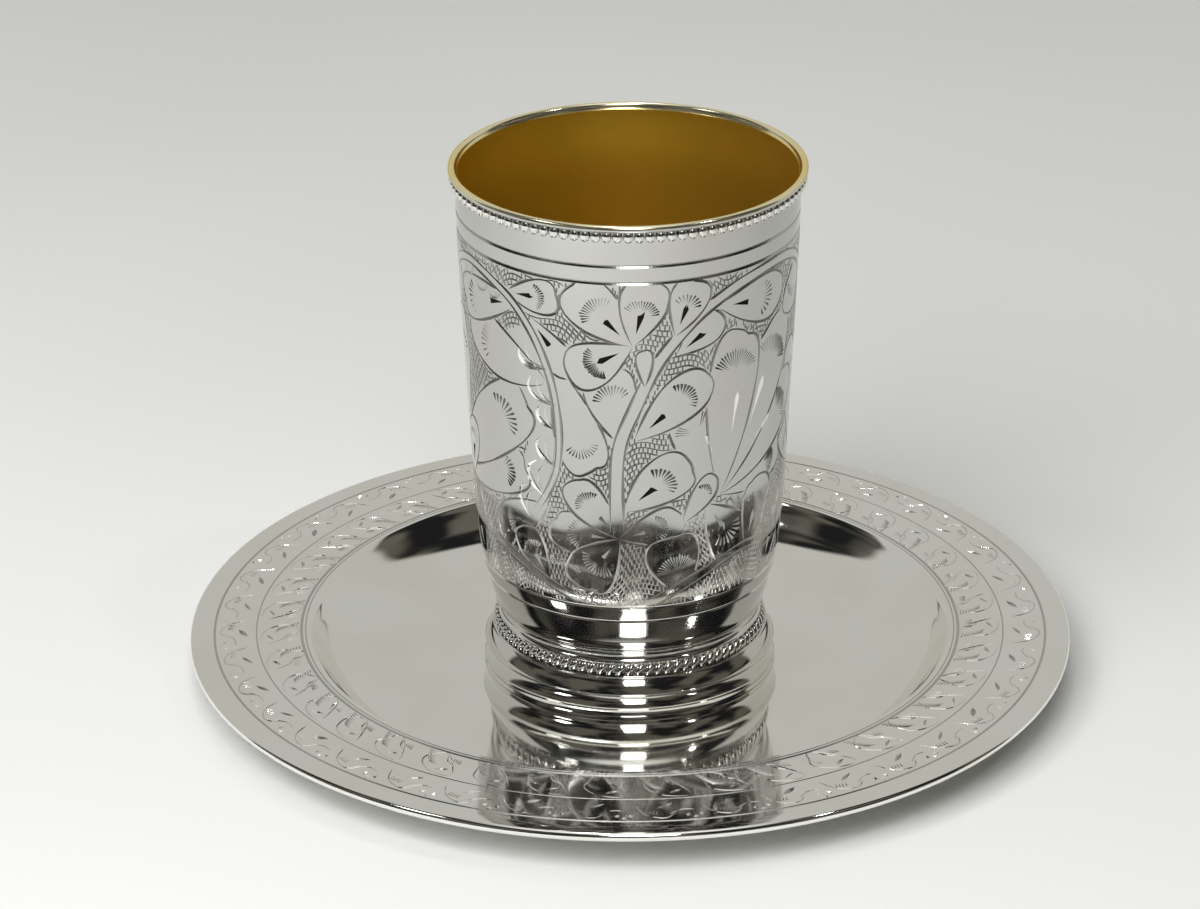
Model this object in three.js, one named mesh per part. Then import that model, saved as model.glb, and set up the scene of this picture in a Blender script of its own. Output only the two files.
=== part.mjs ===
// A kiddush cup: an engraved silver beaker on a spun foot, standing on its matching silver plate.
// Millimetres, +Z up. The origin is at the centre of the plate's underside, on the cup's own axis.
import * as THREE from 'three';
import { mergeVertices } from 'three/addons/utils/BufferGeometryUtils.js';

// Driving sizes
const lipRadius = 29.0;        // outside of the rolled lip
const cupHeight = 88.3;        // from the plate's floor to the top of the lip
const footRadius = 24.4;       // bottom flange of the foot
const footHeight = 11.6;       // where the foot's top meets the bowl's underside
const plateRadius = 73.8;
const plateDepth = 7.3;        // plate's underside to the top of its flat border
const sheet = 0.9;             // thickness of the silver sheet, cup and plate alike
const clearance = 0.05;        // solder gap between an applied border and what it lies on

// Where the two applied borders sit, as heights above the plate's floor and radii of their seats
const underLip = cupHeight - 3.5;
const wallUnderLip = 27.9;
const beadingCentre = cupHeight - 2.4;
const ropeCentre = 8.1;
const ropeHalf = 0.95;
const ropeSeat = 21.9;

// Fineness of the turned shapes
const cupSides = 60;
const plateSides = 64;
const samplesPerBead = 2;

const silver = new THREE.MeshStandardMaterial({ color: 0xd9d8d3, metalness: 1, roughness: 0.12 });
const beadedSilver = new THREE.MeshStandardMaterial({ color: 0xcfcec9, metalness: 1, roughness: 0.2 });

const point = (radius, height) => new THREE.Vector2(radius, height);

// Points along a circular arc of the profile; angles in degrees, 0 pointing away from the axis.
function arc(centreRadius, centreHeight, radius, fromDegrees, toDegrees, steps) {
  const turn = THREE.MathUtils.degToRad;
  const clockwise = toDegrees < fromDegrees;
  return new THREE.EllipseCurve(centreRadius, centreHeight, radius, radius,
    turn(fromDegrees), turn(toDegrees), clockwise).getPoints(steps);
}

// Turns a profile about Z. It starts at its foot and runs outwards and up. One that doesn't start on the axis
// is a ring, and closes on its first point.
function turned(profile, sides) {
  const outline = profile[0].x === 0 ? profile : [...profile, profile[0]];
  const lathe = new THREE.LatheGeometry(outline, sides);
  lathe.deleteAttribute('normal');
  lathe.deleteAttribute('uv');
  return mergeVertices(lathe.rotateX(Math.PI / 2));
}

// Pulls the outer vertices of a turned ring inwards between its beads. slant turns the upper beads against
// the lower ones, by that share of a bead, as the strands of a rope lie.
function beaded(ring, beads, innerRadius, depth, slant) {
  const place = ring.getAttribute('position');
  const centre = new THREE.Box3().setFromBufferAttribute(place).getCenter(new THREE.Vector3()).z;
  for (let i = 0; i < place.count; i += 1) {
    const radius = Math.hypot(place.getX(i), place.getY(i));
    const height = place.getZ(i);
    if (radius > innerRadius + depth) {
      const angle = Math.atan2(place.getY(i), place.getX(i));
      const lean = height > centre ? slant : 0;
      const wave = 0.5 - 0.5 * Math.cos((angle * beads) + (2 * Math.PI * lean));
      const pulled = radius - depth * wave;
      place.setXYZ(i, place.getX(i) * pulled / radius, place.getY(i) * pulled / radius, height);
    }
  }
  return ring;
}

function named(name, geometry, material, height) {
  const mesh = new THREE.Mesh(geometry, material);
  mesh.name = name;
  mesh.position.z = height;
  return mesh;
}

// Plate: one spun sheet with a flat floor, a curved wall, a level border and a thickened edge.
function plate() {
  const floorRadius = 44.5;
  const borderInner = 54.8;
  const borderTop = plateDepth;
  const wallDrop = borderTop - sheet;
  const edge = 0.75;
  const edgeHeight = borderTop - edge;
  const bend = borderInner - wallDrop * 0.55;
  const under = sheet * 0.6;
  const wall = new THREE.QuadraticBezierCurve(point(floorRadius, sheet),
    point(bend, sheet), point(borderInner, borderTop)).getPoints(4);
  const wallUnder = new THREE.QuadraticBezierCurve(point(floorRadius, 0),
    point(bend + under, 0), point(borderInner + under, borderTop - sheet)).getPoints(4);
  return turned([
    point(0, 0),
    ...wallUnder,
    point(plateRadius - 2 * edge, borderTop - sheet),
    ...arc(plateRadius - edge, edgeHeight, edge, -120, 90, 3),
    ...wall.reverse(),
    point(0, sheet),
  ], plateSides);
}

// A shallow hollow band of the profile, between two heights, drawn in to its radius at the middle.
function hollow(radius, fromHeight, toHeight, depth, steps) {
  const half = (toHeight - fromHeight) / 2;
  const curve = (half * half + depth * depth) / (2 * depth);
  const open = THREE.MathUtils.radToDeg(Math.asin(half / curve));
  return arc(radius + curve, fromHeight + half, curve, 180 + open, 180 - open, steps);
}

// Foot: a spun shell, open below, with a hollow neck, a seat for the rope border, a rounded shoulder and a
// hollow band over a bottom flange.
function foot() {
  const neckRadius = 21.45;
  const neckHeight = 10.3;
  const flange = 0.7;
  const bandTop = 4.1;
  const bandDepth = 0.35;
  const shoulderCurve = 5.8;
  const shoulderCentre = 18.6;
  const shoulderHeight = 2.65;
  const ledge = footRadius - 1.65;
  const shell = sheet + 0.2;
  const seamRadius = footRadius - 9.4;
  return turned([
    point(footRadius - 2 * sheet, 0),
    point(footRadius, 0),
    point(footRadius, flange),
    ...hollow(footRadius - 0.2 - bandDepth, flange + 0.1, bandTop, bandDepth, 2),
    ...arc(shoulderCentre, shoulderHeight, shoulderCurve, 18, 42, 2),
    point(ledge, ropeCentre - ropeHalf - 0.1),
    point(ropeSeat, ropeCentre - ropeHalf),
    point(ropeSeat, ropeCentre + ropeHalf),
    point(neckRadius, neckHeight),
    point(neckRadius + 0.4, footHeight),
    point(seamRadius, footHeight),
    point(seamRadius, footHeight - sheet),
    point(neckRadius - shell, footHeight - sheet),
    point(neckRadius - shell, ropeCentre),
    point(footRadius - 2.2 * sheet, bandTop - sheet),
  ], cupSides);
}

// Rope border: a milled wire with slanting strands, soldered round the foot below its neck.
function ropeBorder() {
  const strands = 88;
  const half = ropeHalf - clearance;
  const inner = ropeSeat + clearance;
  const wire = turned([
    point(inner, -half),
    point(inner + 1.25, -0.45 * half),
    point(inner + 0.85, 0.45 * half),
    point(inner, half),
  ], strands * samplesPerBead);
  return beaded(wire, strands, inner, 0.3, 0.5);
}

// Bowl: a raised beaker with an even wall, a belly drawn in over the foot and a lip rolled outwards.
function cupBody() {
  const lipRoll = 0.6;
  const lipHeight = cupHeight - lipRoll;
  const mouth = 27.55;
  const seatRadius = 21.85;
  const side = new THREE.SplineCurve([
    point(seatRadius + 0.55, footHeight + 0.9), point(23.3, 15.2), point(24.5, 20.3), point(25.4, 28),
    point(26.15, 42), point(27.0, 60), point(27.65, 76), point(wallUnderLip, underLip),
  ]);
  const outside = side.getPoints(8);
  const inside = new THREE.SplineCurve([
    point(21.2, footHeight + 1.5), point(23.0, 17.6), point(24.4, 26), point(25.2, 41),
    point(26.1, 60), point(26.75, 76), point(mouth - 0.5, underLip),
  ]).getPoints(7);
  return turned([
    point(0, footHeight),
    point(seatRadius, footHeight),
    point(seatRadius + 0.5, footHeight + 0.35),
    ...outside,
    point(wallUnderLip, cupHeight - 2 * lipRoll),
    ...arc(lipRadius - lipRoll, lipHeight, lipRoll, -60, 90, 3),
    point(mouth, lipHeight + 0.2),
    ...inside.reverse(),
    point(19.4, footHeight + sheet),
    point(0, footHeight + sheet),
  ], cupSides);
}

// Beading: a milled wire with round beads, soldered under the lip.
function beading() {
  const beads = 104;
  const half = 1.1;
  const inner = wallUnderLip + clearance;
  const wire = turned([
    point(inner, -half),
    point(inner + 0.95, 0),
    point(inner, half),
  ], beads * samplesPerBead);
  return beaded(wire, beads, inner, 0.35, 0);
}

const cup = new THREE.Group();
cup.position.z = sheet;
cup.add(
  named('cup_body', cupBody(), silver, 0),
  named('rim_beading', beading(), beadedSilver, beadingCentre),
  named('foot', foot(), silver, 0),
  named('foot_rope_border', ropeBorder(), beadedSilver, ropeCentre),
);

const kiddushCup = new THREE.Group();
kiddushCup.add(cup, named('plate', plate(), silver, 0));

export default kiddushCup;
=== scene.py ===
"""A kiddush cup on its plate: a raised silver beaker, gilt inside and engraved outside, on a spun foot.

The sections follow the cup and plate as they are put together. Lengths of the silver are in millimetres, as a
silversmith gives them, and mm turns them into the frame's metres.
"""

from math import cos, hypot, pi, radians, sin

import bmesh
import bpy
import numpy as np
from mathutils import Matrix, Vector
from mathutils.geometry import delaunay_2d_cdt


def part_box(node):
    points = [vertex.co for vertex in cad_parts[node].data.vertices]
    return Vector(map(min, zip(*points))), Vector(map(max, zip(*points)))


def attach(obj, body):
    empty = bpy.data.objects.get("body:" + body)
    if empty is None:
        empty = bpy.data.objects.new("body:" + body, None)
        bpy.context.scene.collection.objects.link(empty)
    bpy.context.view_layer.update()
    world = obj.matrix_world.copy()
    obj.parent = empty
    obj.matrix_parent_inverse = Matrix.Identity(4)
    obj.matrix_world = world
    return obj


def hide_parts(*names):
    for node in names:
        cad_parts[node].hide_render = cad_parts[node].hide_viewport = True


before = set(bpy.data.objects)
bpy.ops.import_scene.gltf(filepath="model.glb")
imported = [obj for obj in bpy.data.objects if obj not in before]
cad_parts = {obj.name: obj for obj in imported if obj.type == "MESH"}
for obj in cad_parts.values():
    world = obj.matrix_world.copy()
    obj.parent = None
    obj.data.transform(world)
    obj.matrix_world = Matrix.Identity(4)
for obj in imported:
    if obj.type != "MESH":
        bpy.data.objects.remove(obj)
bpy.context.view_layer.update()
mm = 0.001


# ---------------------------------------------------------------- The table, the light and the camera
# A table laid with a white cloth that runs out of view. A tall window stands over the camera in a dark room,
# a pale wall is opposite, and a few small lamps make the sparks: the polished silver shows them all.

class Wire:
    """A shader node's output. Arithmetic on wires adds Math nodes, and node() adds any other kind."""

    def __init__(self, tree, output=None):
        self.tree, self.output = tree, output

    def node(self, kind, inputs=(), output=0, **settings):
        made = self.tree.nodes.new("ShaderNode" + kind)
        for name, value in settings.items():
            setattr(made, name, value)
        for name, value in dict(inputs).items():
            if isinstance(value, Wire):
                self.tree.links.new(value.output, made.inputs[name])
            else:
                made.inputs[name].default_value = value
        return Wire(self.tree, made.outputs[output])

    def math(self, operation, *others):
        return self.node("Math", dict(enumerate((self, *others))), operation=operation)

    def __add__(self, other):
        return self.math("ADD", other)

    def __sub__(self, other):
        return self.math("SUBTRACT", other)

    def __rsub__(self, other):
        return self.math("MULTIPLY_ADD", -1.0, other)

    def __mul__(self, other):
        return self.math("MULTIPLY", other)

    __radd__, __rmul__ = __add__, __mul__

    def step(self, low, high):
        """0 below low, 1 above high and smooth between."""
        values = {0: self, 1: low, 2: high, 3: 0.0, 4: 1.0}
        return self.node("MapRange", values, interpolation_type="SMOOTHSTEP")

    def part(self, axis):
        """One coordinate of a place or a direction: 0, 1 or 2 for x, y or z."""
        return self.node("SeparateXYZ", {0: self}, output=axis)

    def noise(self, scale, detail):
        """Noise over the place that this wire gives."""
        return self.node("TexNoise", {"Vector": self, "Scale": scale, "Detail": detail})

    def blend(self, first, second):
        """Goes from the first colour to the second as this goes from 0 to 1."""
        return self.node("Mix", {0: self, 6: first, 7: second}, output=2, data_type="RGBA")


def nodes_of(owner):
    """Empties the node tree of a material or a world, and gives a wire to build it from."""
    owner.use_nodes = True
    owner.node_tree.nodes.clear()
    return Wire(owner.node_tree)


def surface(name, **constants):
    """A new material, its blank wire and its shader, with the sockets set that are the same all over."""
    material = bpy.data.materials.new(name)
    start = nodes_of(material)
    shader = material.node_tree.nodes.new("ShaderNodeBsdfPrincipled")
    end = material.node_tree.nodes.new("ShaderNodeOutputMaterial")
    material.node_tree.links.new(shader.outputs[0], end.inputs["Surface"])
    for socket, value in constants.items():
        shader.inputs[socket.replace("_", " ")].default_value = value
    return material, start, shader


def feed(wire, shader, socket):
    """Joins a wire to a socket of a shader."""
    wire.tree.links.new(wire.output, shader.inputs[socket])


def keep(name, bm, *materials):
    """Makes a bmesh an object of its own in the frame."""
    mesh = bpy.data.meshes.new(name)
    bm.to_mesh(mesh)
    bm.free()
    piece = bpy.data.objects.new(name, mesh)
    bpy.context.scene.collection.objects.link(piece)
    for material in materials:
        mesh.materials.append(material)
    return piece


cloth, wire, shader = surface("white_cloth", Roughness=0.9, Specular_IOR_Level=0.15)
place = wire.node("TexCoord", output="Object")
shade = place.noise(3.0, 2.0).step(0.3, 0.7)
feed(shade.blend((0.80, 0.805, 0.79, 1), (0.86, 0.865, 0.85, 1)), shader, "Base Color")

half_table = 3.0
bm = bmesh.new()
bmesh.ops.create_grid(bm, x_segments=2, y_segments=2, size=half_table)
table = keep("table", bm, cloth)


def light(name, place, aim, watts, width, height):
    """A soft lamp that faces a point."""
    lamp = bpy.data.lights.new(name, "AREA")
    lamp.energy = watts
    lamp.shape, lamp.size, lamp.size_y = "RECTANGLE", width, height
    stand = bpy.data.objects.new(name, lamp)
    stand.location = place
    stand.rotation_euler = (Vector(place) - Vector(aim)).to_track_quat("Z", "Y").to_euler()
    bpy.context.scene.collection.objects.link(stand)
    return stand


cup_middle = (0, 0, 0.04)
light("window", (0.065, -0.98, 1.32), cup_middle, 5.2, 0.38, 0.85)
light("side_lamp", (-0.95, -0.4, 1.23), cup_middle, 1.2, 0.24, 0.2)
for number, place in enumerate(((0.75, -0.3, 1.2), (-0.1, 0.25, 1.6))):
    light(f"small_lamp_{number}", place, cup_middle, 0.8, 0.07, 0.07)
wash = light("soft_front", (-0.3, -0.45, 0.5), (-0.05, -0.02, 0), 4.2, 0.5, 0.5)
wash.visible_glossy = False

world = bpy.context.scene.world or bpy.data.worlds.new("room")
bpy.context.scene.world = world
wire = nodes_of(world)
way = wire.node("TexCoord", output="Generated")
backdrop = way.part(1).step(0.24, 0.32)
overhead = way.part(2).step(0.93, 0.97)
room = way.noise(2.6, 1.5).step(0.42, 0.62).blend((0.012, 0.012, 0.013, 1), (0.115, 0.108, 0.090, 1))
sky = overhead.blend(backdrop.blend(room, (0.50, 0.50, 0.465, 1)), (0.95, 0.95, 0.90, 1))
glow = world.node_tree.nodes.new("ShaderNodeBackground")
world.node_tree.links.new(sky.output, glow.inputs["Color"])
world.node_tree.links.new(glow.outputs[0], world.node_tree.nodes.new("ShaderNodeOutputWorld").inputs[0])
bpy.context.scene.view_settings.view_transform = "Standard"

lens = bpy.data.cameras.new("camera")
lens.lens, lens.sensor_width = 129.0, 36.0
lens.clip_start, lens.clip_end = 0.01, 20
camera = bpy.data.objects.new("camera", lens)
stand_point = (0, -0.6475, 0.3315)
look_down, turn_left, tip_over = radians(24.41), 0.0074, -0.0064
camera.matrix_world = (Matrix.Translation(stand_point) @ Matrix.Rotation(turn_left, 4, "Z")
                       @ Matrix.Rotation(pi / 2 - look_down, 4, "X") @ Matrix.Rotation(tip_over, 4, "Z"))
bpy.context.scene.collection.objects.link(camera)
bpy.context.scene.camera = camera


# ---------------------------------------------------------------- The bowl
# A beaker raised from one sheet of silver, its belly drawn in over the foot and its lip rolled outwards. The
# wall is cut by hand with a graver: ring lines, scrolling stems, petals with fans and wedges, netted ground.

def smooth(points, step):
    """Even steps along a smooth curve through points."""
    knots = np.array(points, float)
    if len(knots) > 2:
        ends = [2 * knots[0] - knots[1]], [2 * knots[-1] - knots[-2]]
        p = np.concatenate([ends[0], knots, ends[1]])
        a, b, c, d = p[:-3], p[1:-2], p[2:-1], p[3:]
        t = np.linspace(0, 1, 12, endpoint=False)[:, None, None]
        square, cube = 2 * a - 5 * b + 4 * c - d, 3 * b - a - 3 * c + d
        fine = (2 * b + (c - a) * t + square * t**2 + cube * t**3) / 2
        knots = np.concatenate([fine.transpose(1, 0, 2).reshape(-1, 2), knots[-1:]])
    run = np.concatenate([[0], np.cumsum(np.hypot(*np.diff(knots, axis=0).T))])
    even = np.linspace(0, run[-1], max(2, round(run[-1] / step) + 1))
    return np.stack([np.interp(even, run, knots[:, i]) for i in (0, 1)], 1)


def beside(path, offset):
    """The path moved sideways, to its left, by an offset that may vary along it."""
    run = np.gradient(path, axis=0)
    run /= np.hypot(*run.T)[:, None]
    return path + np.stack([-run[:, 1], run[:, 0]], 1) * np.broadcast_to(offset, len(path))[:, None]


def within(points, outline):
    """Which points lie inside a closed outline."""
    near = np.flatnonzero(((points > outline.min(0)) & (points < outline.max(0))).all(1))
    x, y = points[near].T
    odd = np.zeros(len(near), bool)
    for (x1, y1), (x2, y2) in zip(outline, np.roll(outline, -1, axis=0)):
        if y1 != y2:
            crosses = (y1 > y) != (y2 > y)
            odd ^= crosses & (x < (x2 - x1) * (y - y1) / (y2 - y1) + x1)
    inside = np.zeros(len(points), bool)
    inside[near] = odd
    return inside


class Engraving:
    """The cuts of one repeat of a pattern, laid out flat in millimetres: x runs round the piece, y runs up or
    outwards. A cut is a path, its half width along it, the slope of its walls and how dark it is. What is
    drawn later lies in front, so leaves and stems first clear the cuts that they cover."""

    def __init__(self, period, seed):
        self.period = period
        self.chance = np.random.default_rng(seed)
        self.cuts, self.covers = [], []

    def runs(self, open_):
        """Where each run of open points starts, and where it has ended."""
        return np.flatnonzero(np.diff(np.concatenate([[0], open_, [0]]))).reshape(-1, 2)

    def clear(self, outline):
        """Takes away the cuts that an outline covers, or those stretches of them. Netting stays out of it."""
        for shift in (-self.period, 0, self.period):
            moved = outline + (shift, 0)
            self.covers.append(moved)
            if not self.cuts:
                continue
            ends = np.cumsum([len(cut[0]) for cut in self.cuts])
            covered = within(np.concatenate([cut[0] for cut in self.cuts]), moved)
            kept = []
            for (path, half, slope, dark), hidden in zip(self.cuts, np.split(covered, ends[:-1])):
                if not hidden.any():
                    kept.append((path, half, slope, dark))
                elif len(path) > 4:
                    for first, last in self.runs(~hidden):
                        if last - first > 3:
                            part = half[first:last].copy()
                            part[0] = part[-1] = 0
                            kept.append((path[first:last], part, slope, dark))
            self.cuts = kept

    def line(self, points, width, attack=0.15, release=0.15, slope=0.55, dark=0.5, step=0.7, hand=0.3):
        """A cut that widens over its first stretch and narrows over its last, as shares of its length.
        The hand that cuts it presses harder here and there, by the share that hand gives."""
        path = smooth(points, step) if step else np.array(points, float)
        if not step:
            path = path[0] + (path[-1] - path[0]) * np.array([0, attack, 1 - release, 1])[:, None]
        run = np.concatenate([[0], np.cumsum(np.hypot(*np.diff(path, axis=0).T))])
        share = run / run[-1]
        press = 1 + hand * np.sin(run / 1.9 + self.chance.uniform(0, 2 * pi)) if step else 1
        half = press * width / 2 * np.clip(np.minimum(share / attack, (1 - share) / release), 0, 1)
        self.cuts.append((path, half, slope, dark))

    def dash(self, start, end, width, blunt=0.12, **cut):
        """A straight cut that starts as a point, and whose blunt end takes a share of its length."""
        self.line([start, end], width, 1 - blunt - 0.02, blunt, step=None, **cut)

    def drop(self, start, end, width):
        """A wedge cut with the flat graver: a point that opens into a broad blunt end."""
        self.dash(start, end, width, 0.05, slope=0.45, dark=1.0)

    def leaf(self, base, tip, half, bend=0.0, fan=13, shade=0.24, drop=0.3, line=0.4, ink=0.7, reach=0.66,
             root=0.0, hatch=0.45):
        """A broad lobed leaf: its outline, a fan of dashes inside its end and a drop towards its root.
        line and ink are the width and darkness of the outline, and shade is the width of the dashes. drop is
        the length of the drop, as a share of the leaf's. root is the leaf's width at its root, reach is how
        far out the dashes lie and hatch is how long they are, as shares of its half width."""
        base, tip = np.array(base, float), np.array(tip, float)
        length = hypot(*(tip - base))
        ahead = (tip - base) / length
        side = np.array([-ahead[1], ahead[0]])

        def spot(along, across):
            lean = bend * half * (along / length) ** 2
            return base + ahead * along + side * (across + lean)

        lobes, notch, turned_by = self.chance.uniform((1.6, 0.03, 0), (2.6, 0.1, pi))
        outline = []
        outline_points = max(20, round(3 * (length + half) / 0.7))
        for turn in np.linspace(0, 2 * pi, outline_points):
            near_tip = sin(turn / 2) ** 2
            wave = 1 + near_tip * notch * (abs(sin(lobes * turn + turned_by)) - 0.6)
            swell = (root + (1 - root) * near_tip**0.6) * abs(sin(turn)) ** 0.78
            across = 1.1 * half * swell * wave * np.sign(sin(turn))
            outline.append(spot(length * (1 - cos(turn)) / 2 * wave, across))
        outline = np.array(outline)
        self.clear(outline)
        self.line(outline, line, 0.12, 0.12, dark=ink)
        bow = reach * half
        hub = length - 1.3 * half
        longest_dash, longest_drop = 3.6, 3.4
        half_fan = radians(72)
        long = min(hatch * half, longest_dash)
        bolder_left = self.chance.random() < 0.4
        for i in range(fan):
            turn = half_fan * (2 * (i + 0.5) / fan - 1)
            bold = i / fan if bolder_left else 1 - i / fan
            far = bow * (1 + self.chance.uniform(-0.04, 0.04))
            near = bow - long * (1 - 0.25 * abs(turn)) * self.chance.uniform(0.8, 1.1)
            start, end = (spot(hub + away * cos(turn), away * sin(turn)) for away in (near, far))
            self.dash(start, end, shade * (0.7 + 0.6 * bold), dark=0.5 + 0.45 * bold)
        if drop:
            long = min(drop * length, longest_drop)
            start = 0.2 * length
            self.drop(spot(start, 0), spot(start + long, 0), 0.3 * long)

    def stem(self, points, wide, line=0.42, taper=0.35):
        """Two lines that run together and close towards the stem's end."""
        path = smooth(points, 0.8)
        gap = wide / 2 * (1 - taper * np.linspace(0, 1, len(path)))
        left, right = beside(path, gap), beside(path, -gap)
        self.clear(np.concatenate([left, right[::-1]]))
        for edge in (left, right):
            self.line(edge, line, 0.05, 0.1, dark=0.65)

    def curls(self, points, side, count, long, wide, dark=0.0):
        """Comma cuts that curl in to one side of a stem, each with a thin one inside it, on plain ground."""
        path = smooth(points, 0.5)
        self.covers.append(np.concatenate([path, beside(path, side * 1.1 * long)[::-1]]))
        arc = [(0.75, 0.0), (1.0, 0.35), (0.75, 0.75), (0.1, 1.05)]
        for i in range(count):
            at = int((i + 0.5) / count * (len(path) - 2))
            run = (path[at + 1] - path[at]) / hypot(*(path[at + 1] - path[at]))
            out = np.array([-run[1], run[0]]) * side
            size = long * self.chance.uniform(0.75, 1.15)
            for reach, width, tone in ((0.85, wide, dark), (0.5, 0.45 * wide, 0.3)):
                comma = [path[at] + (out * reach * across + run * along) * size for across, along in arc]
                self.line(comma, width, 0.45, 0.4, slope=0.28, dark=tone, step=0.5)

    def trim(self, low, high, margin=20):
        """Takes away what reaches above or below the zone, within a margin that is wider than any leaf."""
        side = self.period
        for bottom, top in ((low - margin, low), (high, high + margin)):
            self.clear(np.array([(-side, bottom), (side, bottom), (side, top), (-side, top)]))

    def ground(self, low, high, waves, swing, cell=0.95):
        """Nets what is still bare: waving courses with short risers between them, set like bricks."""
        number = np.arange(-round(2 * swing / cell), round((high - low + 2 * swing) / cell))[:, None]

        def course(number, x):
            turn = 2 * pi * waves * x / self.period
            sway = np.sin(turn) + 0.5 * np.sin(2 * turn + 1.3)
            return np.stack([x, low + number * cell + swing * sway], -1)

        def bare(spots):
            points = spots.reshape(-1, 2)
            free = (points[:, 1] > low + 0.2) & (points[:, 1] < high - 0.2)
            for outline in self.covers:
                free &= ~within(points, outline)
            return free.reshape(spots.shape[:-1])

        rails = course(number, np.arange(-self.period / 2, self.period / 2 + 0.3, 0.5) + 0 * number)
        for rail, open_ in zip(rails, bare(rails)):
            for first, last in self.runs(open_):
                if last - first > 2:
                    self.line(rail[first:last], 0.25, 0.1, 0.1, step=0.8, dark=0.6)
        place = np.arange(-self.period / 2, self.period / 2, 0.72) + 0.36 * (number % 2)
        feet = course(number, place)
        tops = course(number + 1, place + self.chance.uniform(-0.12, 0.12, place.shape))
        for foot, top in np.stack([feet, tops], 2)[bare(feet) & bare(tops)]:
            self.line([foot, top], 0.27, 0.25, 0.25, step=None, dark=0.75)


def cup_pattern(half_turn):
    """Half a turn of the bowl's pattern, which is cut on the front and again on the back."""
    e = Engraving(half_turn, seed=5)
    # the palmette at the left side, and the leaves of the left stem over it
    side = (-41, 36.5)
    for tip, half, shade in (((-50.5, 46), 4.4, 0.24), ((-49, 60), 5.4, 0.24), ((-37.5, 65.5), 5.8, 0.24),
                             ((-17.5, 43.8), 5.2, 0.5), ((-17.2, 56.4), 6.6, 0.5)):
        e.leaf(side, tip, half, fan=11, shade=shade, root=0.1)
    e.leaf((-13.6, 60), (-31.5, 64.5), 5.6, bend=-0.3, fan=9, drop=0, root=0.2)
    e.leaf((-18.0, 72.5), (-34.5, 69.4), 4.6, bend=0.1, fan=7, shade=0.4)
    e.leaf((-20.6, 74.0), (-10.9, 75.0), 3.6, fan=12, shade=0.32)
    e.leaf((-36.0, 77), (-40.5, 65.5), 3.8, fan=9)
    e.leaf((-36.0, 36), (-33.5, 47), 3.4, fan=9, shade=0.3)
    # the palmette at the right
    heart = (15.6, 39.5)
    for tip, half, shade in (((31.5, 43.5), 4.4, 0.4), ((34.5, 54.5), 5.6, 0.4), ((30.2, 67), 6.2, 0.34),
                             ((9.0, 57.8), 5.3, 0.22), ((18.8, 68.0), 6.0, 0.26)):
        e.leaf(heart, tip, half, fan=19, shade=shade, drop=0, root=0.05, hatch=0.75, reach=0.75)
    for rib in (((17.6, 50), (18.6, 57)), ((21.4, 50), (24.6, 58)),
                ((21.6, 46), (27, 50.5)), ((14.2, 47), (12.6, 51))):
        e.line(rib, 0.9, 0.8, 0.15, slope=0.35, dark=0)
    e.leaf((14.0, 73.0), (28.8, 70.6), 4.9, bend=0.2, fan=9, shade=0.3, drop=0.22)
    e.leaf((36.5, 76.2), (32.0, 66.0), 4.2, fan=9)
    # the leaves of the middle stem
    e.leaf((-11.4, 62.5), (-6.2, 44.6), 4.7, fan=12, drop=0, root=0.2)
    e.leaf((-0.6, 38.6), (9.2, 47.4), 5.0, bend=-0.2, fan=11, shade=0.45, root=0.1)
    e.leaf((-0.4, 49.5), (-4.6, 63.8), 5.0, bend=-0.15, fan=13, shade=0.3)
    e.leaf((0.8, 51.0), (12.4, 61.8), 4.7, bend=-0.1, fan=12, shade=0.45)
    e.leaf((7.4, 65.6), (15.0, 71.2), 3.3, fan=0, drop=0.45)
    e.leaf((-16.2, 71.0), (-8.6, 61.6), 3.1, fan=0, drop=0.45)
    # the rosette at the foot of the middle stem, and the leaves on both sides of it
    for tip, half in (((-13.4, 34.0), 4.4), ((-9.8, 43.0), 3.9), ((9.0, 36.4), 3.9), ((-8.8, 24.4), 5.2)):
        e.leaf((-1.6, 33.5), tip, half, fan=13, shade=0.3, drop=0.2, line=0.42)
    e.leaf((13.0, 38.4), (21.0, 27.6), 5.4, fan=9, shade=0.5, line=0.5)
    e.leaf((9.4, 22), (6.6, 33.4), 5.6, fan=17, shade=0.34, drop=0.2)
    e.leaf((9.0, 35.6), (14.6, 43), 2.6, fan=8, shade=0.4, drop=0)
    e.leaf((-13.8, 38.2), (-25.6, 31.0), 4.6, bend=0.3, fan=11, shade=0.5, line=0.42)
    e.leaf((-14.2, 24.2), (-19.6, 32.6), 3.6, fan=9, shade=0.4)
    for x, lean in ((-33, -3), (-40.5, 1), (28.5, 3), (36, 1)):
        e.leaf((x, 20.6), (x + lean, 35.5), 5.0, fan=11, shade=0.34, line=0.42)
    e.leaf((22, 28), (25.6, 40), 4.2, fan=9, shade=0.4)
    for way in (-1, 1):
        hook = [(-4.3 + out * way, height) for out, height in ((1.9, 21.4), (2.6, 22.6), (1.5, 23.8))]
        e.line(hook, 0.5, 0.4, 0.4, step=0.4, dark=0)
    # the stems
    right = [(-2.0, 34.5), (-1.8, 48), (0.9, 56.5), (4.6, 64.6), (9.4, 70.6), (14, 74.0), (20, 76.3),
             (29, 77), (36, 74.5), (41, 69), (43, 63)]
    left = [(-41.5, 66.5), (-38, 73.2), (-30.5, 76.3), (-21.5, 74.0), (-16.5, 69.3), (-13.2, 62.5),
            (-11.7, 55), (-11.6, 48.5), (-13.0, 42.3), (-16.4, 36.4)]
    e.stem(right, 2.2)
    e.stem(left, 1.5)
    e.curls(left[4:], -1, 6, 5.2, wide=0.9)
    e.curls(left[1:4], -1, 4, 3.8, wide=0.6, dark=0.5)
    e.stem([(-27, 28.6), (-20, 26.2), (-14, 23.6), (-8.5, 21.2)], 1.7)
    e.stem([(3.4, 21.2), (9, 24), (16, 27.0), (21.5, 28.4), (27, 28)], 1.7)
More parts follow.
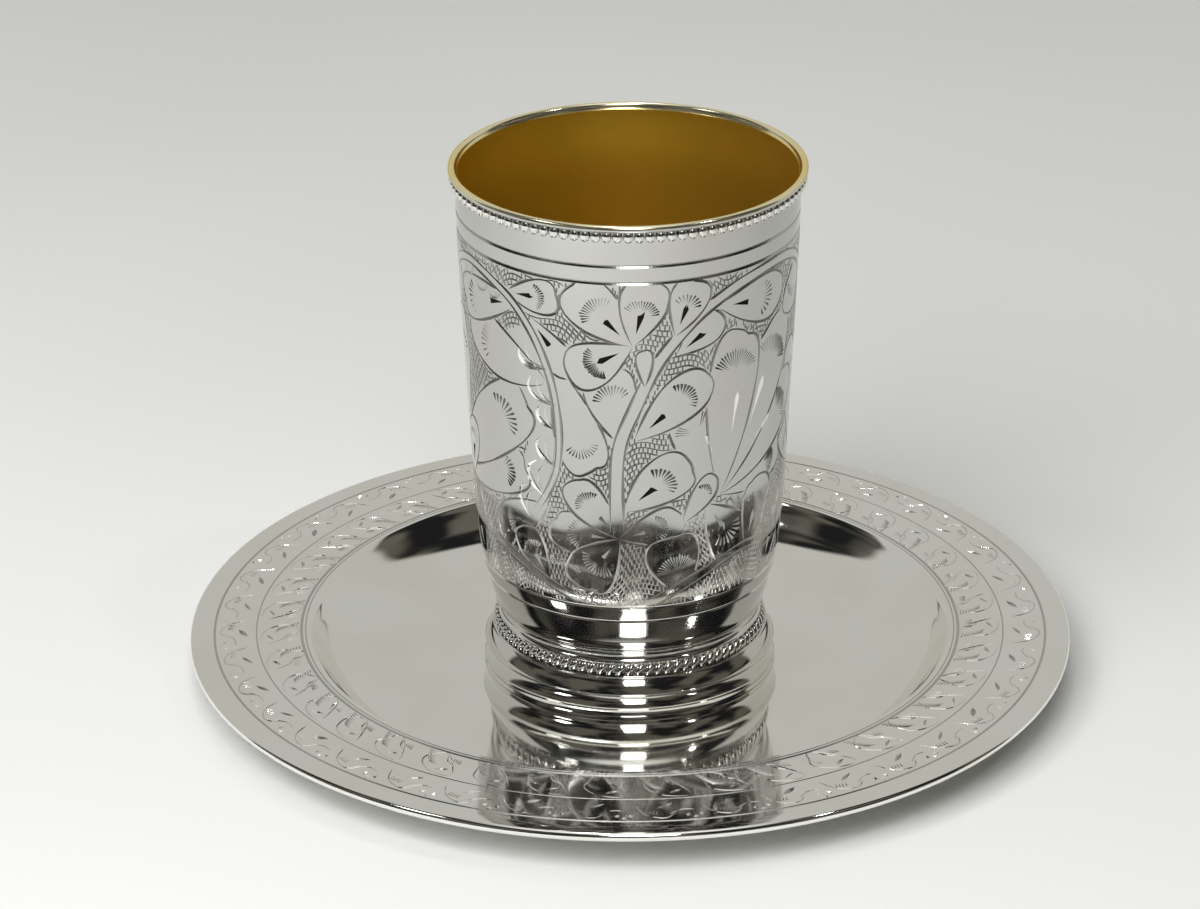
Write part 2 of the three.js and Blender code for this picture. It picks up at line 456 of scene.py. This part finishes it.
    # the flower at the top of the middle
    flower = (0.6, 67.6)
    for tip, half, shade in (((-9.6, 62.2), 4.8, 0.5), ((-8.8, 77.4), 5.1, 0.24), ((3.2, 78.4), 4.6, 0.24)):
        e.leaf(flower, tip, half, fan=15, shade=shade)
    e.leaf((7.2, 69.0), (10.6, 78.2), 3.9, fan=9, shade=0.3)
    e.leaf((2.5, 60.6), (2.4, 67.0), 1.6, fan=0, drop=0)
    e.trim(20.6, 78.3)
    e.ground(20.5, 78.4, waves=4, swing=2.2)
    return e


def bend(radius, height, curve, start, end, steps):
    """Points of a round moulding's profile; angles in degrees, 0 pointing away from the axis."""
    turns = np.radians(np.linspace(start, end, steps + 1))
    return [(radius + curve * cos(turn), height + curve * sin(turn)) for turn in turns]


def turned(bm, profile, steps):
    """Turns a profile, given in millimetres as radius and height, round the axis."""
    spots = [bm.verts.new((radius * mm, 0, height * mm)) for radius, height in profile]
    lines = [bm.edges.new(pair) for pair in zip(spots, spots[1:])]
    bmesh.ops.spin(bm, geom=spots + lines, cent=(0, 0, 0), axis=(0, 0, 1), angle=2 * pi, steps=steps,
                   use_merge=True)
    bmesh.ops.remove_doubles(bm, verts=bm.verts, dist=1e-7)


def polish(bm, sharp=32):
    """Turns the faces outwards and smooths them, but for the edges sharper than an angle in degrees."""
    bmesh.ops.recalc_face_normals(bm, faces=bm.faces)
    for face in bm.faces:
        face.smooth = True
    for edge in bm.edges:
        edge.smooth = len(edge.link_faces) == 2 and edge.calc_face_angle() < radians(sharp)


def depth_of(points, cuts, margin=0.0):
    """How deep some flat points lie in V grooves cut one over another, and how dark the deepest one is."""
    deep, dark = np.zeros(len(points)), np.zeros(len(points))
    for path, half, slope, tone in cuts:
        reach = half.max() + margin
        close = np.flatnonzero(((points > path.min(0) - reach) & (points < path.max(0) + reach)).all(1))
        if not len(close):
            continue
        here = points[close][:, None]
        start, run = path[:-1], np.diff(path, axis=0)
        share = (((here - start) * run).sum(2) / (run**2).sum(1)).clip(0, 1)
        away = np.hypot(*(here - start - share[..., None] * run).transpose(2, 0, 1))
        found = (slope * (half[:-1] + share * np.diff(half) + margin - away)).max(1)
        deeper = found > deep[close]
        dark[close[deeper]] = tone
        deep[close[deeper]] = found[deeper]
    return deep, dark


def cut_mesh(pattern, low, high, spacing, edge_steps):
    """One flat repeat in triangles, in which every cut has its outline and its valley.
    Gives the flat points, their depth, the triangles and how dark those are, below 0 where nothing is cut."""
    period = pattern.period
    least_depth = 0.0005
    spots, links = [], []

    def chain(points):
        first = len(spots)
        spots.extend(map(Vector, points))
        links.extend((first + i, first + i + 1) for i in range(len(points) - 1))

    near = []
    for path, half, slope, dark in pattern.cuts:
        for shift in (-period, 0, period):
            moved = path + (shift, 0)
            if moved[:, 0].min() < period / 2 + 1 and moved[:, 0].max() > -period / 2 - 1:
                near.append((moved, half, slope, dark))
    for path, half, slope, dark in near:
        for side in (-1, 0, 1):
            chain(beside(path, side * half))
    ends = np.linspace(-period / 2, period / 2, edge_steps + 1)
    rows = np.linspace(low, high, round((high - low) / spacing) + 1)
    for height in (low, high):
        chain([(x, height) for x in ends])
    for side in (-0.5, 0.5):
        chain([(side * period, y) for y in rows])
    columns = round(period / spacing)
    bare = np.array([((column + 0.5 + 0.5 * (row % 2)) / columns * period - period / 2, y)
                     for row, y in enumerate(rows[1:-1]) for column in range(columns - row % 2)])
    spots.extend(map(Vector, bare[depth_of(bare, near, margin=0.2)[0] <= 0]))
    flat, _, faces, *_ = delaunay_2d_cdt(spots, links, [], 0, 1e-4)
    flat, faces = np.array(flat), np.array(faces)
    middle = flat[faces].mean(1)
    inside = (abs(middle[:, 0]) < period / 2) & (middle[:, 1] > low) & (middle[:, 1] < high)
    used, faces = np.unique(faces[inside], return_inverse=True)
    depth, dark = depth_of(middle[inside], near)
    dark[depth < least_depth] = -1
    return flat[used], depth_of(flat[used], near)[0], faces.reshape(-1, 3), dark


def engrave(bm, flat_mesh, repeats, place):
    """Lays a flat repeat round the piece. place(x, y, depth) gives its points, in metres, as first laid.
    Its faces get their kind, 1 for bare skin and 2 for cuts, which stays 0 on the turned faces."""
    seam_gap = 4e-6
    flat, depth, faces, dark = flat_mesh
    rest = place(flat[:, 0], flat[:, 1], depth)
    darkness = bm.faces.layers.float.new("darkness")
    kind = bm.faces.layers.int.new("kind")
    for i in range(repeats):
        spin = Matrix.Rotation(2 * pi * i / repeats, 3, "Z")
        spots = [bm.verts.new(spin @ Vector(spot)) for spot in rest]
        for corners, tone in zip(faces, dark):
            face = bm.faces.new([spots[corner] for corner in corners])
            face[kind] = 1 if tone < 0 else 2
            face[darkness] = max(tone, 0)
    bmesh.ops.remove_doubles(bm, verts=bm.verts, dist=seam_gap)


def burnish(piece, facing):
    """Gives the bare skin of an engraved piece the exact normals of its form, and each cut its facets."""
    mesh = piece.data
    kinds = np.zeros(len(mesh.polygons), int)
    mesh.attributes["kind"].data.foreach_get("value", kinds)
    mesh.polygons.foreach_set("use_smooth", kinds != 2)
    spots = np.zeros(3 * len(mesh.vertices))
    mesh.vertices.foreach_get("co", spots)
    corners = np.zeros(len(mesh.loops), int)
    mesh.loops.foreach_get("vertex_index", corners)
    exact = facing(spots.reshape(-1, 3))[corners]
    sides = np.zeros(len(mesh.polygons), int)
    mesh.polygons.foreach_get("loop_total", sides)
    exact[np.repeat(kinds, sides) != 1] = 0
    mesh.normals_split_custom_set(exact.tolist())


low_corner, high_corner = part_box("cup_body")
lip_radius = high_corner.x / mm
lip_top = high_corner.z / mm
seat_height = low_corner.z / mm
plate_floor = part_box("foot")[0].z / mm
bowl_steps = 144
roll = 0.6
wall_low, wall_high = 14.4, 84.8
wall = smooth([(22.4, 13.4), (23.3, 16.1), (24.5, 21.2), (25.4, 28.9), (26.15, 42.9), (27.0, 60.9),
               (27.65, 76.9), (27.9, 85.7)], 0.25)
bowl_edge = [(22.55, 13.9), *bend(21.9, 13.1, 0.6, 20, -80, 4), (21.4, seat_height), (0, seat_height)]
hollow = smooth([(27.5, 88.2), (27.45, 86.9), (27.25, 84.5), (26.6, 76.9), (25.95, 60.9), (25.1, 42.9),
                 (24.3, 27), (22.9, 18.5), (21.2, 15.0), (18.8, 13.5), (15.5, 13.4), (0.1, 13.4)], 1.0)
plating = 0.03
gilt_from = 5
pattern_radius = 26.5
half_turn = pi * pattern_radius
ring_heights = (17.8, 20.5, 78.4, 81.25)


def wall_radius(height):
    """The outside of the bowl's wall at a height over the table."""
    return np.interp(height, wall[:, 1], wall[:, 0])


def inner_skin(gap):
    """Profile of the lip's gilt part and of the hollow, down to the axis, at a gap behind the gold's face."""
    crown = bend(lip_radius - roll, lip_top - roll, roll - gap, gilt_from, 180, 14)
    return [*crown, *(hollow + (gap, -gap)), (0, hollow[-1, 1] - gap)]


def on_wall(x, y, depth):
    """A flat point of the bowl's pattern: x runs round from the front, y is the height over the plate."""
    height = y + plate_floor
    radius = wall_radius(height) - depth
    turn = x / pattern_radius
    return np.stack([radius * np.sin(turn), -radius * np.cos(turn), height], 1) * mm


def out_of_wall(spots):
    """Which way the uncut wall faces at some points."""
    height = spots[:, 2] / mm
    lean = (wall_radius(height - 0.4) - wall_radius(height + 0.4)) / 0.8
    out = np.stack([spots[:, 0], spots[:, 1], lean * np.hypot(spots[:, 0], spots[:, 1])], 1)
    return out / np.linalg.norm(out, axis=1)[:, None]


bowl_pattern = cup_pattern(half_turn)
for height in ring_heights:
    ring = [(-half_turn, height), (half_turn, height)]
    bowl_pattern.line(ring, 0.58, 0.001, 0.001, slope=0.75, dark=0.4, step=1.2, hand=0)
zone_low, zone_high = wall_low - plate_floor, wall_high - plate_floor
bowl_flat = cut_mesh(bowl_pattern, zone_low, zone_high, spacing=1.9, edge_steps=bowl_steps // 2)

bm = bmesh.new()
lip = bend(lip_radius - roll, lip_top - roll, roll, -75, gilt_from, 7)
collar = [(wall_radius(wall_high), wall_high), (27.9, 87.2), (27.9, 87.9)]
turned(bm, [*collar, *lip, *inner_skin(plating)], bowl_steps)
turned(bm, [(wall_radius(wall_low), wall_low), *bowl_edge], bowl_steps)
engrave(bm, bowl_flat, 2, on_wall)
polish(bm)


def silver(name, tone, zone=None, satin=0.05):
    """Hand-polished silver: faint warm tarnish, wiping scratches and a skin that is never quite even. Within
    an engraved zone, given by a function of the place, the skin waves more and the cuts are blackened."""
    material, wire, shader = surface(name, Metallic=1.0)
    place = wire.node("TexCoord", output="Object")
    cloud = place.noise(60.0, 3.0)
    clean, dull = (tone, tone, 0.975 * tone, 1), (0.97 * tone, 0.955 * tone, 0.90 * tone, 1)
    colour = cloud.step(0.35, 0.75).blend(clean, dull)
    streaks = place.node("Mapping", {"Vector": place, "Scale": (900.0, 900.0, 5000.0)}).noise(1.0, 2.0)
    rough = satin + 0.03 * cloud.step(0.4, 0.8) + 0.03 * streaks.step(0.5, 0.8)
    waves = place.noise(80.0, 0.0) - 0.5
    relief = 0.1 * waves + 0.002 * streaks
    if zone:
        uneven, cut_blackness = zone(place)
        relief = relief + 0.9 * uneven * waves
        cut = wire.node("Attribute", output=2, attribute_name="kind").math("GREATER_THAN", 1.5)
        dark = wire.node("Attribute", output=2, attribute_name="darkness")
        colour = (dark * cut_blackness).blend(cut.blend(colour, (0.9, 0.89, 0.86, 1)), (0.03, 0.029, 0.027, 1))
        rough = rough + 0.05 * uneven * cut_blackness + 0.5 * dark * dark
    feed(colour, shader, "Base Color")
    feed(rough, shader, "Roughness")
    feed(relief.node("Bump", {"Height": relief, "Distance": 0.0003, "Strength": 1.0}), shader, "Normal")
    return material


def wall_zone(place):
    """How uneven the bowl's skin is, least on its plain bands, and how black its cuts are, less low down."""
    height = place.part(2)
    engraved = height.step(0.0185, 0.0205) * (1 - height.step(0.078, 0.0795))
    # The cuts are blackened less below about 33 to 42 mm up.
    return 1.3 * engraved, 0.2 + 0.8 * height.step(0.033, 0.042)


engraved_silver = silver("engraved_silver", 0.55, wall_zone)
bowl = keep("engraved_bowl", bm, engraved_silver)
burnish(bowl, out_of_wall)
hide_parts("cup_body")
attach(bowl, "root")


# ---------------------------------------------------------------- The gilding
# A thin plating of gold over the whole inside of the bowl and over its lip. It is left satin by the wire
# brush and burnished on the lip, where its gold is also painted paler as a painted highlight.
bm = bmesh.new()
face_side, silver_side = inner_skin(0), inner_skin(0.9 * plating)
turned(bm, [*face_side, *silver_side[::-1], face_side[0]], bowl_steps)
polish(bm)

gilt, wire, shader = surface("gilt", Metallic=0.965, Specular_Tint=(1.0, 0.8, 0.3, 1))
place = wire.node("TexCoord", output="Object")
cloud = place.noise(45.0, 3.0)
on_lip = place.part(2).step((lip_top - 1.2) * mm, (lip_top - 0.6) * mm)
gold = cloud.step(0.3, 0.75).blend((0.99, 0.78, 0.17, 1), (0.95, 0.73, 0.14, 1))
# The lip's gold is painted paler, a painted highlight; its lower roughness is the burnish.
feed(on_lip.blend(gold, (1.0, 0.93, 0.68, 1)), shader, "Base Color")
feed(0.15 + (0.12 + 0.08 * cloud) * (1 - on_lip), shader, "Roughness")
lining = keep("gilt_lining", bm, gilt)
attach(lining, "root")


# ---------------------------------------------------------------- The beading
# A wire milled into a row of beads, soldered round the outside of the bowl close under its lip.
bead_count = 104
bead_half = Vector((0.66, 0.84, 1.02))
bead_middle = Vector((28.25, 0, lip_top - 1.95))


def ring_of(bm, count):
    """Repeats what a mesh holds round the axis."""
    bmesh.ops.spin(bm, geom=bm.verts[:] + bm.edges[:] + bm.faces[:], cent=(0, 0, 0), axis=(0, 0, 1),
                   angle=2 * pi * (1 - 1 / count), steps=count - 1, use_duplicate=True)


bm = bmesh.new()
bmesh.ops.create_uvsphere(bm, u_segments=10, v_segments=7, radius=1)
bmesh.ops.scale(bm, vec=bead_half * mm, verts=bm.verts)
bmesh.ops.translate(bm, vec=bead_middle * mm, verts=bm.verts)
ring_of(bm, bead_count)
polish(bm, sharp=60)
plain_silver = silver("polished_silver", 0.75)
beading = keep("rim_beads", bm, plain_silver)
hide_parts("rim_beading")
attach(beading, "root")


# ---------------------------------------------------------------- The foot
# A foot spun from thin sheet over a chuck, open below: a flange, a hollow band, a rounded shoulder with two
# fillets, the seat of the rope border and a hollow neck that is soldered to the bowl. Its heights are over
# the plate's floor.
flange = [(22.6, 0), (24.2, 0), (24.4, 0.15), (24.4, 0.6), (24.3, 0.7), (24.05, 0.75)]
hollow_band = bend(27.7, 2.5, 3.83, 205, 155, 10)
ridge = bend(24.1, 4.3, 0.17, -80, 70, 5)
shoulder = bend(18.6, 2.65, 5.8, 18.5, 42, 10)
fillets = bend(22.75, 6.83, 0.13, -60, 60, 4) + bend(22.68, 7.07, 0.12, -50, 90, 4)
rope_seat = [(21.9, 7.2), (21.9, 9.1), *bend(21.85, 9.32, 0.18, -80, 80, 4)]
neck = bend(22.85, 10.45, 1.4, 215, 160, 6) + bend(21.75, 11.25, 0.3, -60, 90, 5)
under = [(15, 11.6), (15, 10.7), (20.35, 10.7), (20.35, 8.1), (22.4, 3.2), (22.6, 0)]

bm = bmesh.new()
foot_profile = [*flange, *hollow_band, *ridge, *shoulder, *fillets, *rope_seat, *neck, *under]
turned(bm, [(radius, plate_floor + height) for radius, height in foot_profile], bowl_steps)
polish(bm)
foot = keep("spun_foot", bm, plain_silver)
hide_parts("foot")
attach(foot, "root")


# ---------------------------------------------------------------- The rope border
# A wire milled like a rope, soldered round the foot on its seat. Each strand is a slanting grain that leans
# in with the slope of the foot.
strands = 88
strand_half = Vector((0.4, 0.7, 1.1))
strand_middle = Vector((22.35, 0, plate_floor + 8.15))
slant, lean_in = radians(-40), radians(-20)

bm = bmesh.new()
bmesh.ops.create_uvsphere(bm, u_segments=8, v_segments=7, radius=1)
bmesh.ops.scale(bm, vec=strand_half * mm, verts=bm.verts)
bmesh.ops.rotate(bm, cent=(0, 0, 0), matrix=Matrix.Rotation(slant, 3, "X"), verts=bm.verts)
bmesh.ops.rotate(bm, cent=(0, 0, 0), matrix=Matrix.Rotation(lean_in, 3, "Y"), verts=bm.verts)
bmesh.ops.translate(bm, vec=strand_middle * mm, verts=bm.verts)
ring_of(bm, strands)
polish(bm, sharp=60)
rope = keep("rope_strands", bm, plain_silver)
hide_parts("foot_rope_border")
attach(rope, "root")


# ---------------------------------------------------------------- The plate
# One sheet spun to a flat floor, a curved well and a level border with a thickened edge. The border is cut by
# hand between ring lines, with scrolls on its outer half and overlapping leaves on its inner half.
plate_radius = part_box("plate")[1].x / mm
border_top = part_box("plate")[1].z / mm
sheet = plate_floor
edge = 0.75
plate_steps = 240
plate_repeats, motifs = 10, 4
border_low, border_high = 53.6, 71.0
mid_radius = 62.6
sector = 2 * pi * mid_radius / plate_repeats


def plate_pattern():
    """One tenth of the border: x runs round it at its middle radius, and y is the radius."""
    e = Engraving(sector, seed=2)
    for number in range(motifs):
        x = ((number + 0.5) / motifs - 0.5) * sector + e.chance.uniform(-0.25, 0.25)
        e.line([(x - 4.6, 64.2), (x - 3.0, 67.4), (x - 0.2, 68.7), (x + 1.6, 67.0)], 0.26, dark=0.3)
        e.line([(x + 0.4, 67.6), (x + 2.4, 66.2), (x + 4.4, 66.4)], 0.26, dark=0.3)
        e.line([(x - 1.3, 65.6), (x, 64.9), (x + 1.3, 64.1)], 0.7, 0.35, 0.35, step=0.5, dark=0.6)
        for way in (-1, 0, 1):
            root = np.array([x + 4.2 + 0.75 * way, 68.1 - 0.7 * abs(way)])
            e.dash(root, root + (0.35 * way, 0.9), 0.8, 0.3, slope=0.4, dark=0)
        for i in range(4):
            foot = np.array([x - 2.6 + 0.5 * i, 66.0 + 0.1 * i])
            e.dash(foot, foot + (-0.3, 1.2), 0.26, dark=0.5)
        e.leaf((x + 4.6, 61.6), (x - 2.6, 57.6), 2.9, bend=0.4, fan=0, drop=0, line=0.26, ink=0.2, root=0.2)
        for i in range(9):
            middle = np.array([x - 2.6 + 0.28 * i, 55.9 + 0.58 * i - 0.02 * i * i])
            e.dash(middle + (1.0, 0.25), middle - (1.0, 0.25), 0.3, dark=0.55)
        e.line([(x + 1.1, 61.0), (x + 2.1, 60.3), (x + 3.2, 59.9)], 0.6, 0.35, 0.35, step=0.5, dark=0.5)
        e.line([(x + 0.6, 55.8), (x + 1.6, 57.6), (x + 3.6, 58.6)], 0.5, 0.3, 0.3, step=0.5, dark=0.2)
        for i in range(4):
            e.dash((x + 2.2 + 0.45 * i, 56.2), (x + 2.6 + 0.45 * i, 57.5 + 0.1 * i), 0.26, dark=0.4)
    for radius, width in ((69.6, 0.42), (62.6, 0.26), (55.1, 0.5), (54.4, 0.24)):
        e.line([(-sector, radius), (sector, radius)], width, 0.001, 0.001, step=1.2, hand=0)
    return e


def on_plate(x, y, depth):
    """A flat point of the border's pattern on the level border."""
    turn = x / mid_radius
    return np.stack([y * np.sin(turn), -y * np.cos(turn), border_top - depth + 0 * y], 1) * mm


def out_of_plate(spots):
    """The level border faces up at all points."""
    return np.tile((0.0, 0.0, 1.0), (len(spots), 1))


plate_flat = cut_mesh(plate_pattern(), border_low, border_high, spacing=1.5,
                      edge_steps=plate_steps // plate_repeats)
well = smooth([(44.5, sheet), (47.5, 1.5), (50.2, 3.2), (52.3, 5.6), (53.2, 6.9)], 0.5)
well_under = [(54.6, border_top - sheet), (52.5, 4.4), (50, 1.6), (47, 0.3), (44.5, 0)]
bm = bmesh.new()
turned(bm, [(0, sheet), *well, (border_low, border_top)], plate_steps)
thick_edge = bend(plate_radius - edge, border_top - edge, edge, 90, -90, 8)
edge_under = (plate_radius - 2.5, border_top - sheet)
turned(bm, [(border_high, border_top), *thick_edge, edge_under, *well_under, (0, 0)], plate_steps)
engrave(bm, plate_flat, plate_repeats, on_plate)
polish(bm)


def border_zone(place):
    """How uneven the plate's skin is, which is only on its engraved border, and how black the cuts are."""
    across, back = place.part(0), place.part(1)
    out = (across * across + back * back).math("SQRT")
    return 0.15 * out.step(0.0540, 0.0555) * (1 - out.step(0.0690, 0.0700)), 0.8


border_silver = silver("border_silver", 0.93, border_zone)
plate = keep("engraved_plate", bm, border_silver)
burnish(plate, out_of_plate)
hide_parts("plate")
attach(plate, "root")
